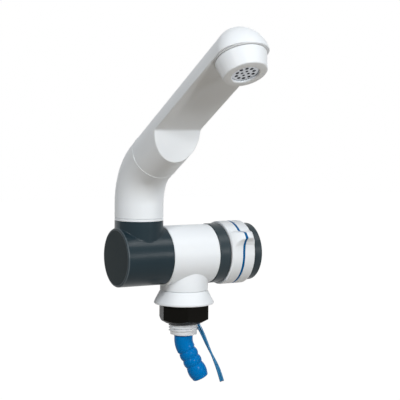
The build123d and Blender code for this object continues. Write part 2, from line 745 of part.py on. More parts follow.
# Dark bonnet ring: screws into the body, clamps the cartridge and carries the switch
web_right = switch_left - seat_clearance
cup_bore = 19.1
screw_pitch = 6.5
screw_rise = 1.6
switch_screw_radius = 1.0
bonnet_ring = along_x(bonnet_radius, bonnet_left, bonnet_right)
bonnet_ring = chamfer(bonnet_ring.edges().filter_by(GeomType.CIRCLE), body_edge)
bonnet_ring += along_x(seat_bore - 0.1, cartridge_flange_right + seat_clearance, bonnet_left + 1)
bonnet_ring -= along_x(cup_bore, web_right, bonnet_right + 1)
bonnet_ring -= along_x(14.3, cartridge_flange_right - 1, bonnet_left - 0.5)
bonnet_ring -= along_x(5.0, 0, bonnet_right)
bonnet_ring -= lead_channel
switch_base = axis_height - switch_top - switch_height
for side in (-1, 1):
    bonnet_ring -= Pos(0, side * screw_pitch / 2, switch_base + screw_rise) * Cylinder(
        switch_screw_radius + 0.03, 80, rotation=(0, 90, 0)
    )
save("bonnet_ring", bonnet_ring)

# Microswitch: hollow case, plunger, snap blade, terminals and screws
case_wall = 0.8
blade_bottom = 24.85
switch_middle = (switch_left + switch_right) / 2
case_centre = Pos(switch_middle, 0, switch_base + switch_height / 2)
switch_case = case_centre * Box(switch_thickness, switch_length, switch_height)
cavity_height = 2.5
cavity_top = axis_height - switch_top - case_wall
cavity = Pos(switch_middle, 0, cavity_top - cavity_height / 2) * Box(
    switch_thickness - 2 * case_wall, switch_length - 2 * case_wall, cavity_height
)
switch_case -= cavity
plunger_radius = 0.9
switch_case -= along_z(plunger_radius + running_clearance, axis_height - switch_top - 2, axis_height,
                       switch_middle)
for side in (-1, 1):
    switch_case -= Pos(0, side * screw_pitch / 2, switch_base + screw_rise) * Cylinder(
        switch_screw_radius + 0.06, 80, rotation=(0, 90, 0)
    )
terminal_thickness = 0.5
terminal_width = 1.6
terminal_pitch = 5.08
contact_height = blade_bottom
common_low = 20.95
open_low = 19.25
terminal_bars = []
for terminal_y, terminal_low in ((0, common_low), (-terminal_pitch, open_low)):
    terminal_bars.append(
        Pos(switch_middle, terminal_y, terminal_low)
        * Box(
            terminal_width,
            terminal_thickness,
            contact_height - terminal_low,
            align=(Align.CENTER, Align.CENTER, Align.MIN),
        )
    )
switch_terminals = Compound(terminal_bars)
switch_case -= switch_terminals
save("switch_case", switch_case)
save("switch_terminals", switch_terminals)
switch_screws = Compound([
    Pos(0, side * screw_pitch / 2, switch_base + screw_rise - axis_height)
    * (
        along_x(switch_screw_radius, bonnet_left + 0.4, switch_right)
        + along_x(switch_screw_radius + 0.7, switch_right, switch_right + 0.4)
    )
    for side in (-1, 1)
])
save("switch_screws", switch_screws)
blade_height = 0.25
blade_width = 3.0
blade_length = 10.9
switch_blade = Pos(switch_middle, 0, blade_bottom) * Box(
    blade_width, blade_length, blade_height, align=(Align.CENTER, Align.CENTER, Align.MIN)
)
save("switch_blade", switch_blade)
plunger_tip = axis_height - cam_base - 0.1
foot_bottom = blade_bottom + blade_height + cam_rise + 0.3
switch_plunger = along_z(plunger_radius, foot_bottom, plunger_tip, switch_middle)
switch_plunger += along_z(1.5, foot_bottom, foot_bottom + 0.6, switch_middle)
save("switch_plunger", switch_plunger)


def cam_radius(turn):
    """Radius of the cam over the plunger when the knob has turned, with a smooth fall back."""
    lead = 15.0
    rise_rate = cam_rise / knob_travel
    if turn <= knob_travel + lead:
        return cam_base + rise_rate * turn
    rising = knob_travel + 2 * lead
    share = (turn - knob_travel - lead) / (360 - rising)
    return cam_base - rise_rate * lead + rise_rate * rising * (1 + math.cos(math.pi * share)) / 2


# Cam on the valve spindle that presses the switch as the knob turns
cam_points = []
for step in range(24):
    turn = 15.0 * step - 15.0
    bearing = math.radians(turn - 90)
    radius = cam_radius(turn)
    cam_points.append((radius * math.cos(bearing), radius * math.sin(bearing)))
cam_plane = Plane(origin=(switch_left + 0.3, 0, axis_height), x_dir=(0, 1, 0), z_dir=(1, 0, 0))
cam_face = cam_plane * make_face(Spline(*cam_points, periodic=True))
drive_hole = along_x(drive_radius + seat_clearance, drive_start, drive_end + 0.2) - Pos(
    drive_start, 0, axis_height + drive_flat + seat_clearance
) * Box(60, 20, 10, align=(Align.MIN, Align.CENTER, Align.MIN))
switch_cam = extrude(cam_face, amount=switch_thickness - 0.6) - drive_hole
save("switch_cam", switch_cam)

# Two leads from the terminals, through the channel, and down into the slot of the shank
lead_turn = 1.2
slot_radius = slot_inner + conductor_radius + 0.85
pair_offset = conductor_radius + 0.03
slot_entry = in_slot_plane(slot_radius, 0, 0)
side_step = in_slot_plane(0, 0, pair_offset)
low_entry = slot_entry + side_step
high_entry = slot_entry - side_step
low_height = open_low - conductor_radius - 0.05
high_height = common_low - conductor_radius - 0.05
channel_side = -1.6
lead_solids = []
for terminal_y, height, entry in ((-terminal_pitch, low_height, low_entry), (0, high_height, high_entry)):
    lead_path = FilletPolyline(
        (switch_right - 1, terminal_y, height),
        (switch_middle + 0.2, terminal_y, height),
        (switch_left + 0.9, channel_side, height),
        (cartridge_seat - 0.6, channel_side, height),
        (entry.X, entry.Y, height),
        (entry.X, entry.Y, cable_start),
        radius=lead_turn,
    )
    lead_section = Plane(origin=lead_path @ 0, z_dir=lead_path % 0) * Circle(conductor_radius)
    lead_solids.append(sweep(lead_section, path=lead_path))
save("switch_leads", Compound(lead_solids))

# Free blue cable below the shank, cut short
cable_points = [in_slot_plane(distance, height) for distance, height in cable_route]
cable_radii = []
for before, corner, after in zip(cable_points[:-2], cable_points[1:-1], cable_points[2:]):
    run_in = corner - before
    run_out = after - corner
    half_turn = math.radians(run_in.get_angle(run_out)) / 2
    cable_radii.append(0.48 * min(run_in.length, run_out.length) / math.tan(half_turn))
cable_line = FilletPolyline(*cable_points, radius=cable_radii)
cable_section = Plane(origin=cable_line @ 0, z_dir=cable_line % 0) * Circle(cable_radius)
switch_cable = sweep(cable_section, path=cable_line)
save("switch_cable", switch_cable)
print("cable corner radii", [round(radius, 1) for radius in cable_radii])
print("cable length", round(cable_line.length, 1))


def grip_solid(inset):
    """Outside of the grip with its finger tab, all faces moved in by an inset."""
    plane = Plane(origin=(grip_left, 0, axis_height), x_dir=(0, 1, 0), z_dir=(1, 0, 0))
    under_side = ThreePointArc(*tab_under)
    corner = Line(tab_under[-1], (tab_corner[0], tab_corner[1]))
    front = Line(tab_corner, tab_shoulder)
    top = Line(tab_shoulder, (tab_back, tab_top))
    back = Line((tab_back, tab_top), (tab_back, 0.0))
    bottom = Line((tab_back, 0.0), tab_under[0])
    outline = make_face(Wire([under_side, corner, front, top, back, bottom]))
    outline = fillet(outline.vertices().filter_by_position(Axis.X, -30, -23.0), 0.9)
    if inset > 0:
        outline = offset(outline, -inset)
    tab = extrude(plane * outline, amount=grip_right - grip_left)
    crest = [Vector(x, 0, radius - inset) for x, radius in tab_crest]
    rise = ThreePointArc(crest[0], crest[1], crest[2])
    fall = TangentArc(crest[2], crest[3], tangent=rise % 1)
    foot_right = Vector(crest[3].X, 0, 0)
    foot_left = Vector(crest[0].X, 0, 0)
    feet = Polyline(crest[3], foot_right, foot_left, crest[0])
    arch = make_face(Wire([rise, fall, *feet.edges()]))
    crown = Pos(0, 0, axis_height) * revolve(arch, Axis.X, 360)
    sleeve = along_x(grip_radius - inset, grip_left, grip_right)
    if inset == 0:
        sleeve = fillet(sleeve.edges().filter_by(GeomType.CIRCLE), grip_edge)
    return sleeve + (tab & crown)


# Knob grip with its finger tab and a groove for the blue stripe
knob_grip = grip_solid(0)
stripe_slab = Pos(stripe_at, 0, axis_height) * Box(stripe_width, 80, 80)
groove_slab = Pos(stripe_at, 0, axis_height) * Box(stripe_width + 0.04, 80, 80)
grip_core = grip_solid(stripe_depth)
groove = groove_slab - grip_core
blue_stripe = (grip_solid(0) & stripe_slab) - grip_solid(stripe_depth - 0.03)
knob_grip -= groove
knob_grip -= along_x(sleeve_radius + seat_clearance, grip_left - 1, grip_right + 1)
save("knob_grip", knob_grip)
save("blue_stripe", blue_stripe)

# Dark knob core: sleeve, end and a hub with a flatted hole that drives the spindle
hub_left = bonnet_right + 1.8
hub_radius = 7.0
screw_seat = drive_end + 3.2
cap_recess = cap_right - 3.0
knob_core = along_x(sleeve_radius, grip_left, grip_right + 1) + along_x(cap_radius, grip_right, cap_right)
knob_core = fillet(knob_core.edges().filter_by(GeomType.CIRCLE).sort_by(Axis.X)[-1], cap_edge)
knob_core -= along_x(sleeve_radius - 2.0, grip_left - 1, grip_right)
knob_core += along_x(hub_radius, hub_left, grip_right + 1)
knob_core -= drive_hole
knob_core -= along_x(knob_screw_radius + 0.15, drive_start, grip_right + 1)
knob_core -= along_x(3.0, screw_seat, cap_right)
cap_disc_radius = 14.0
knob_core -= along_x(cap_disc_radius, cap_recess, cap_right + 1)
save("knob_core", knob_core)
knob_cap_disc = along_x(cap_disc_radius - seat_clearance, cap_recess + seat_clearance, cap_right)
save("knob_cap_disc", knob_cap_disc)
knob_screw = along_x(knob_screw_radius, drive_end - 7.5, screw_seat + 0.5)
knob_screw += along_x(2.6, screw_seat, screw_seat + 2.0)
slot_cut = Pos(screw_seat + 2.0, 0, axis_height) * Box(1.6, 6, 0.7)
knob_screw -= slot_cut
save("knob_screw", knob_screw)
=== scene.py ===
"""Looks of the microswitch tap: camera, light, finishes and the pieces that go beyond their CAD solids.

Lengths in the classes are in millimetres, as on a drawing, and turn into metres where a mesh is made.
"""

from __future__ import annotations

import json
import logging
import math
from dataclasses import dataclass
from enum import Enum
from typing import Callable, Iterable, Mapping, Sequence, Union

import bmesh
import bpy
from mathutils import Matrix, Vector

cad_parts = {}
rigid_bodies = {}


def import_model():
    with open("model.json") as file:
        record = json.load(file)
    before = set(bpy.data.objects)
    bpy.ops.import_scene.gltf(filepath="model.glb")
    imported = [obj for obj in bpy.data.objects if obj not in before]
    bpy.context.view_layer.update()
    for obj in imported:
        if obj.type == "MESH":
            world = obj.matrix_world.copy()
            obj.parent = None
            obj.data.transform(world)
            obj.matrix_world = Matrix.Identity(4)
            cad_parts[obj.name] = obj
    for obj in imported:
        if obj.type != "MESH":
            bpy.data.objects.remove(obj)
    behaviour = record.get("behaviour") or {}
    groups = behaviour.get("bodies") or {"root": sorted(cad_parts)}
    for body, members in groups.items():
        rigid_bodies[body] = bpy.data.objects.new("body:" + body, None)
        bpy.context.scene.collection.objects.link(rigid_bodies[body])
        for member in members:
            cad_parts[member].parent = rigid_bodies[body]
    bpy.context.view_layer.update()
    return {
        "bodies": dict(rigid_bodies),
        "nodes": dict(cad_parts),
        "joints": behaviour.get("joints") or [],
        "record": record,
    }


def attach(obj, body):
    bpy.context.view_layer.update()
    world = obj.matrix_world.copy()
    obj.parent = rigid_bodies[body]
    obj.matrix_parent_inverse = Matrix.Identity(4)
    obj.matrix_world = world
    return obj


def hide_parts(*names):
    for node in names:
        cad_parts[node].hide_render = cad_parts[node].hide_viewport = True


LOG = logging.getLogger("tap")
MM = 0.001
Colour = tuple[float, float, float]
Pairs = tuple[tuple[float, float], ...]
Value = Union[float, Sequence[float], "Signal"]

# Sockets of a Mix node that is set to colours
MIX_SHARE = 0
MIX_FIRST = 6
MIX_SECOND = 7
MIX_RESULT = 2


class Op(Enum):
    """Operations of a Math node that the finishes use."""

    ADD = "ADD"
    SUBTRACT = "SUBTRACT"
    MULTIPLY = "MULTIPLY"
    DIVIDE = "DIVIDE"
    MAXIMUM = "MAXIMUM"
    MINIMUM = "MINIMUM"


class Signal:
    """An output socket of a shader node; sums and products of signals add Math nodes."""

    def __init__(self, graph: Graph, socket: bpy.types.NodeSocket | None) -> None:
        """Wrap a socket.

        Args:
            graph: The graph that the socket's node is in.
            socket: The output socket, or None for a node that has no outputs.
        """
        self.graph = graph
        self.socket = socket

    def _maths(self, operation: Op, first: Value, second: Value) -> Signal:
        """Add one Math node.

        Args:
            operation: What the node does.
            first: Its first value.
            second: Its second value.

        Returns:
            The node's result.
        """
        return self.graph.node("ShaderNodeMath", {"operation": operation.value}, {0: first, 1: second})

    def __add__(self, other: Value) -> Signal:
        """Sum."""
        return self._maths(Op.ADD, self, other)

    __radd__ = __add__

    def __sub__(self, other: Value) -> Signal:
        """Difference."""
        return self._maths(Op.SUBTRACT, self, other)

    def __rsub__(self, other: Value) -> Signal:
        """Difference from a number."""
        return self._maths(Op.SUBTRACT, other, self)

    def __mul__(self, other: Value) -> Signal:
        """Product."""
        return self._maths(Op.MULTIPLY, self, other)

    __rmul__ = __mul__

    def __truediv__(self, other: Value) -> Signal:
        """Quotient."""
        return self._maths(Op.DIVIDE, self, other)

    def __rtruediv__(self, other: Value) -> Signal:
        """Quotient of a number and the signal."""
        return self._maths(Op.DIVIDE, other, self)

    def clipped(self) -> Signal:
        """The signal held between 0 and 1."""
        return self._maths(Op.MINIMUM, self._maths(Op.MAXIMUM, self, 0.0), 1.0)

    def other(self, name: str) -> Signal:
        """Another output of the same node."""
        return Signal(self.graph, self.socket.node.outputs[name])


@dataclass(frozen=True)
class Grain:
    """Fractal noise: its cells per metre, how many finer octaves it has, and how strong those are."""

    per_metre: float
    octaves: float
    rough: float = 0.5


def opaque(colour: Colour) -> tuple[float, float, float, float]:
    """A colour with full alpha."""
    return (*colour, 1.0)


PURE_WHITE = opaque((1.0, 1.0, 1.0))


class Graph:
    """The node tree of one material or of the world."""

    def __init__(self, tree: bpy.types.NodeTree) -> None:
        """Empty the tree.

        Args:
            tree: The node tree to build in.
        """
        self.tree = tree
        self.tree.nodes.clear()

    def node(
        self,
        kind: str,
        settings: Mapping[str, object] | None = None,
        inputs: Mapping[int | str, Value] | None = None,
        out: int | str = 0,
    ) -> Signal:
        """Add a node, set it, and join or fill its sockets.

        Args:
            kind: The node's type.
            settings: Its properties, which are set first.
            inputs: Socket number or name to a value or a signal.
            out: Which output to return.

        Returns:
            The chosen output.
        """
        made = self.tree.nodes.new(kind)
        for name, value in (settings or {}).items():
            setattr(made, name, value)
        for name, value in (inputs or {}).items():
            socket = made.inputs[name]
            if isinstance(value, Signal):
                self.tree.links.new(value.socket, socket)
            else:
                socket.default_value = value
        return Signal(self, made.outputs[out] if len(made.outputs) else None)

    def place(self) -> Signal:
        """Where a point of the piece is, in metres."""
        return self.node("ShaderNodeTexCoord", out="Object")

    def stretched(self, scale: Sequence[float]) -> Signal:
        """The place scaled along each axis."""
        return self.node(
            "ShaderNodeVectorMath", {"operation": "MULTIPLY"}, {0: self.place(), 1: tuple(scale)}
        )

    def noise(self, where: Signal, grain: Grain) -> Signal:
        """Fractal noise from 0 to 1.

        Args:
            where: The place it is read at.
            grain: Its scale and octaves.

        Returns:
            The noise's value.
        """
        return self.node(
            "ShaderNodeTexNoise",
            {"noise_dimensions": "3D"},
            {"Vector": where, "Scale": grain.per_metre, "Detail": grain.octaves, "Roughness": grain.rough},
            out="Fac",
        )

    def blend(self, share: Value, first: Value, second: Value) -> Signal:
        """Mix two colours.

        Args:
            share: How much of the second there is.
            first: First colour.
            second: Second colour.

        Returns:
            The mixed colour.
        """
        return self.node(
            "ShaderNodeMix",
            {"data_type": "RGBA"},
            {MIX_SHARE: share, MIX_FIRST: first, MIX_SECOND: second},
            out=MIX_RESULT,
        )

    def bump(self, height: Signal, depth_mm: float = 1.0) -> Signal:
        """Turn a height into a normal.

        Args:
            height: The height.
            depth_mm: What a height of 1 stands for.

        Returns:
            The bumped normal.
        """
        return self.node(
            "ShaderNodeBump", None, {"Strength": 1.0, "Distance": depth_mm * MM, "Height": height}
        )


def shaded(name: str) -> tuple[bpy.types.Material, Graph]:
    """Start a material.

    Args:
        name: The material's name.

    Returns:
        The material and its emptied graph.
    """
    material = bpy.data.materials.new(name)
    material.use_nodes = True
    return material, Graph(material.node_tree)


def finished(graph: Graph, fixed: Mapping[str, object], varied: Mapping[str, Value]) -> None:
    """Close a graph with the Principled shader.

    Args:
        graph: The graph.
        fixed: Values that are the same all over.
        varied: Signals that change over the surface.
    """
    surface = graph.node("ShaderNodeBsdfPrincipled", None, {**fixed, **varied})
    graph.node("ShaderNodeOutputMaterial", None, {"Surface": surface})


@dataclass(frozen=True)
class MouldedPlastic:
    """Moulded plastic: a slight flow mottle, fine skin texture and polish that is not quite even.

    A highlight may be painted lighter along an edge at one place along the barrel.
    """

    name: str
    colour: Colour
    shade: Colour
    roughness: float
    uneven: float = 0.06
    skin_mm: float = 0.004
    skin_per_metre: float = 2600.0
    skin_octaves: float = 2.0
    ripple_mm: float = 0.02
    glow: float = 0.0
    shine: float = 0.5
    # Painted highlight along one edge: its strength, place along x, width, least share and colour.
    painted_highlight: float = 0.0
    painted_highlight_at_mm: float = 0.0
    painted_highlight_width_mm: float = 0.55
    painted_highlight_least: float = 0.4
    painted_highlight_colour: Colour = (0.20, 0.235, 0.26)
    flow: Grain = Grain(38.0, 4.0, 0.55)
    polish: Grain = Grain(120.0, 3.0, 0.6)
    polish_stretch: tuple[float, float, float] = (1.0, 1.0, 0.35)
    ripple: Grain = Grain(45.0, 1.0, 0.4)
    specks: Grain = Grain(900.0, 1.0)
    speck_gain: float = 3.0
    speck_cut: float = 1.9
    glow_colour: Colour = (1.0, 0.9, 0.8)
    glow_depth_mm: float = 1.2
    refraction: float = 1.5

    def paint_edge_highlight(self, graph: Graph, where: Signal, polish: Signal, colour: Signal) -> Signal:
        """Paint a highlight along an edge.

        Args:
            graph: The material's graph.
            where: The place on the piece.
            polish: Noise that breaks the painted highlight up.
            colour: The colour elsewhere.

        Returns:
            The colour with the painted highlight in it.
        """
        along = graph.node("ShaderNodeSeparateXYZ", None, {0: where})
        across = (along / MM - self.painted_highlight_at_mm) / self.painted_highlight_width_mm
        share = (1.0 - across * across).clipped() * (polish + self.painted_highlight_least) * self.painted_highlight
        return graph.blend(share.clipped(), colour, opaque(self.painted_highlight_colour))

    def material(self) -> bpy.types.Material:
        """Make the material.

        Returns:
            The new material.
        """
        material, graph = shaded(self.name)
        where = graph.place()
        flow = graph.noise(where, self.flow)
        polish = graph.noise(graph.stretched(self.polish_stretch), self.polish)
        skin = graph.noise(where, Grain(self.skin_per_metre, self.skin_octaves))
        ripple = graph.noise(where, self.ripple)
        specks = (graph.noise(where, self.specks) * self.speck_gain - self.speck_cut).clipped()
        colour = graph.blend(flow, opaque(self.colour), opaque(self.shade))
        # Painted highlight along one edge, standing in for the light that falls on a rim.
        if self.painted_highlight:
            colour = self.paint_edge_highlight(graph, where, polish, colour)
        half = 0.5 * self.uneven
        roughness = polish * self.uneven + specks * half + (self.roughness - half)
        height = skin * self.skin_mm + ripple * self.ripple_mm
        finished(
            graph,
            {
                "IOR": self.refraction,
                "Subsurface Weight": self.glow,
                "Subsurface Radius": self.glow_colour,
                "Subsurface Scale": self.glow_depth_mm * MM,
                "Specular IOR Level": self.shine,
            },
            {"Base Color": colour, "Roughness": roughness, "Normal": graph.bump(height)},
        )
        return material


@dataclass(frozen=True)
class TurnedMetal:
    """Machined or stamped metal with tool lines round one axis and a slight tarnish."""

    name: str
    colour: Colour
    shade: Colour
    roughness: float
    stretch: tuple[float, float, float] = (9000.0, 400.0, 400.0)
    lines: Grain = Grain(1.0, 2.0)
    depth_mm: float = 0.003
    tarnish: Grain = Grain(160.0, 4.0, 0.6)
    dulled: float = 0.12
    scored: float = 0.08

    def material(self) -> bpy.types.Material:
        """Make the material.

        Returns:
            The new material.
        """
        material, graph = shaded(self.name)
        lines = graph.noise(graph.stretched(self.stretch), self.lines)
        tarnish = graph.noise(graph.place(), self.tarnish)
        colour = graph.blend(tarnish, opaque(self.colour), opaque(self.shade))
        middle = (self.dulled + self.scored) / 2
        roughness = tarnish * self.dulled + lines * self.scored + (self.roughness - middle)
        finished(
            graph,
            {"Metallic": 1.0},
            {"Base Color": colour, "Roughness": roughness, "Normal": graph.bump(lines, self.depth_mm)},
        )
        return material


@dataclass(frozen=True)
class SoftRubber:
    """Moulded rubber, matt, with a bloom of grey dust."""

    name: str
    colour: Colour
    bloom: Colour
    roughness: float = 0.62
    dusted: float = 0.15
    dust: Grain = Grain(420.0, 5.0, 0.65)
    dust_gain: float = 1.8
    dust_cut: float = 0.6
    skin: Grain = Grain(5200.0, 2.0)
    skin_mm: float = 0.006

    def material(self) -> bpy.types.Material:
        """Make the material.

        Returns:
            The new material.
        """
        material, graph = shaded(self.name)
        where = graph.place()
        dust = (graph.noise(where, self.dust) * self.dust_gain - self.dust_cut).clipped()
        skin = graph.noise(where, self.skin)
        finished(
            graph,
            {},
            {
                "Base Color": graph.blend(dust, opaque(self.colour), opaque(self.bloom)),
                "Roughness": dust * self.dusted + self.roughness,
                "Normal": graph.bump(skin, self.skin_mm),
            },
        )
        return material


class Look(Enum):
    """The finishes of the tap."""

    WHITE = MouldedPlastic(
        "white_plastic", (0.805, 0.845, 0.88), (0.78, 0.82, 0.855), 0.42,
        glow=0.06, skin_mm=0.0015, ripple_mm=0.008, shine=0.28,
    )
    # A painted highlight lies along the barrel's left rim, at x = -51.8 mm.
    DARK = MouldedPlastic(
        "anthracite_plastic", (0.010, 0.022, 0.030), (0.014, 0.029, 0.038), 0.30,
        uneven=0.1, skin_mm=0.002, shine=0.16, painted_highlight=0.38, painted_highlight_at_mm=-51.8,
    )
    CAP_DARK = MouldedPlastic(
        "cap_anthracite", (0.018, 0.028, 0.032), (0.024, 0.035, 0.039), 0.38, uneven=0.14, shine=0.03
    )
    KNOB_DARK = MouldedPlastic(
        "knob_anthracite", (0.024, 0.038, 0.046), (0.029, 0.044, 0.053), 0.34,
        uneven=0.1, skin_mm=0.002, shine=0.16,
    )
    NUT = MouldedPlastic(
        "black_nylon", (0.003, 0.003, 0.002), (0.005, 0.0045, 0.0035), 0.36,
        uneven=0.12, skin_mm=0.006, skin_per_metre=3600.0, shine=0.045,
    )
    SHANK = MouldedPlastic(
        "grey_acetal", (0.74, 0.765, 0.79), (0.68, 0.705, 0.73), 0.36, glow=0.05, shine=0.3
    )
    # Grey of painted shade for the groove between the spout's head and the collar.
    GROOVE_SHADE = MouldedPlastic("painted_groove_shade", (0.59, 0.605, 0.62), (0.55, 0.565, 0.58), 0.45, shine=0.2)
    TAIL = MouldedPlastic(
        "blue_nylon", (0.0, 0.155, 0.46), (0.0, 0.175, 0.50), 0.20, uneven=0.1, skin_mm=0.003, shine=0.05
    )
    STRIPE = MouldedPlastic("blue_inlay", (0.0, 0.092, 0.26), (0.0, 0.108, 0.29), 0.34, shine=0.06)
    SHEATH = MouldedPlastic(
        "cable_sheath", (0.008, 0.15, 0.33), (0.014, 0.175, 0.37), 0.22, uneven=0.1, ripple_mm=0.03, shine=0.4
    )
    NATURAL = MouldedPlastic("natural_acetal", (0.62, 0.59, 0.50), (0.56, 0.53, 0.44), 0.40)
    CASE = MouldedPlastic(
        "switch_housing", (0.018, 0.018, 0.020), (0.026, 0.026, 0.028), 0.48, skin_mm=0.01
    )
    CERAMIC = MouldedPlastic("lapped_ceramic", (0.74, 0.71, 0.64), (0.70, 0.67, 0.60), 0.22, skin_mm=0.001)
    RUBBER = SoftRubber("black_rubber", (0.012, 0.012, 0.012), (0.045, 0.045, 0.044))
    CHROME = TurnedMetal("satin_plate", (0.46, 0.475, 0.50), (0.36, 0.375, 0.395), 0.26)
    STEEL = TurnedMetal("stainless_steel", (0.56, 0.57, 0.58), (0.46, 0.47, 0.48), 0.32)
    BRASS = TurnedMetal("machined_brass", (0.72, 0.52, 0.22), (0.60, 0.42, 0.17), 0.30)
    COPPER = TurnedMetal("copper_strands", (0.80, 0.42, 0.26), (0.62, 0.30, 0.18), 0.34)


def placed(name: str, data: bpy.types.ID) -> bpy.types.Object:
    """Put a new object in the scene.

    Args:
        name: The object's name.
        data: Its mesh, camera or light.

    Returns:
        The new object.
    """
    obj = bpy.data.objects.new(name, data)
    bpy.context.scene.collection.objects.link(obj)
    return obj


class Workshop:
    """Keeps the frame's nodes and one material per finish, and puts finishes on pieces."""

    def __init__(self, frame: Mapping[str, object]) -> None:
        """Keep the frame's nodes.
        """
        self.nodes: Mapping[str, bpy.types.Object] = frame["nodes"]
        self.materials: dict[Look, bpy.types.Material] = {}

    def material(self, look: Look) -> bpy.types.Material:
        """The finish's material, made at its first use.

        Args:
            look: The finish.

        Returns:
            Its material.
        """
        if look not in self.materials:
            self.materials[look] = look.value.material()
        return self.materials[look]

    def dress(self, names: Iterable[str], look: Look) -> None:
        """Put a finish on CAD nodes that stay.

        Args:
            names: The nodes.
            look: The finish.
        """
        for name in names:
            for slot in self.nodes[name].material_slots:
                slot.material = self.material(look)
            LOG.info("dressed %s in %s", name, look.value.name)

    def piece(
        self, name: str, mesh: bpy.types.Mesh, look: Look, body: str, replaced: Sequence[str] = ()
    ) -> bpy.types.Object:
        """Turn a mesh into a piece of the tap.

        Args:
            name: The piece's name.
            mesh: Its mesh, in metres at rest.
            look: Its finish.
            body: The body that it rides on.
            replaced: CAD nodes that it stands for.

        Returns:
            The new object.
        """
        mesh.materials.append(self.material(look))
        obj = placed(name, mesh)
        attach(obj, body)
        if replaced:
            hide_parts(*replaced)
        LOG.info("built %s with %d faces on body %s", name, len(mesh.polygons), body)
        return obj


def mesh_from(name: str, build: bmesh.types.BMesh) -> bpy.types.Mesh:
    """Turn a finished bmesh into a mesh.

    Args:
        name: The mesh's name.
        build: The bmesh, which is freed.

    Returns:
        The mesh.
    """
    mesh = bpy.data.meshes.new(name)
    build.to_mesh(mesh)
    build.free()
    return mesh


def ring_mesh(name: str, rings: Sequence[Sequence[Vector]], closed: bool) -> bpy.types.Mesh:
    """Join rings of equally many points with quads.

    Args:
        name: The mesh's name.
        rings: The rings, in millimetres.
        closed: Whether the last ring joins the first. Otherwise each end gets a face.

    Returns:
        The mesh, in metres, smooth and with its faces outward.
    """
    build = bmesh.new()
    rows = [[build.verts.new(point * MM) for point in ring] for ring in rings]
    pairs = list(zip(rows, rows[1:]))
    if closed:
        pairs.append((rows[-1], rows[0]))
    count = len(rows[0])
    for low, high in pairs:
        for index in range(count):
            after = (index + 1) % count
            build.faces.new((low[index], low[after], high[after], high[index]))
    if not closed:
        build.faces.new(rows[0][::-1])
        build.faces.new(rows[-1])
    bmesh.ops.recalc_face_normals(build, faces=build.faces)
    mesh = mesh_from(name, build)
    mesh.shade_smooth()
    return mesh


def soft_min(first: float, second: float, width: float) -> float:
    """The smaller of two lengths, with a rounded change from one to the other."""
    share = max(width - abs(first - second), 0.0) / width
    return min(first, second) - share * share * width / 4.0


def soft_max(first: float, second: float, width: float) -> float:
    """The larger of two lengths, with a rounded change from one to the other."""
    return -soft_min(-first, -second, width)


def between(table: Pairs, place: float) -> float:
    """Read a value off straight lines between a few points, level beyond its ends.

    Args:
        table: Place and value, from low to high.
        place: Where to read it.

    Returns:
        The value there.
    """
    if place <= table[0][0]:
        return table[0][1]
    for (low, start), (high, end) in zip(table, table[1:]):
        if place <= high:
            share = (place - low) / (high - low)
            return start + (end - start) * share
    return table[-1][1]


Finishes = tuple[tuple[tuple[str, ...], Look], ...]


@dataclass
class SubAssembly:
    """CAD nodes that belong together and keep their solids."""

    finishes: Finishes = ()

    def build(self, shop: Workshop) -> None:
        """Dress the nodes.

        Args:
            shop: Where finishes and pieces are made.
        """
        for names, look in self.finishes:
            shop.dress(names, look)


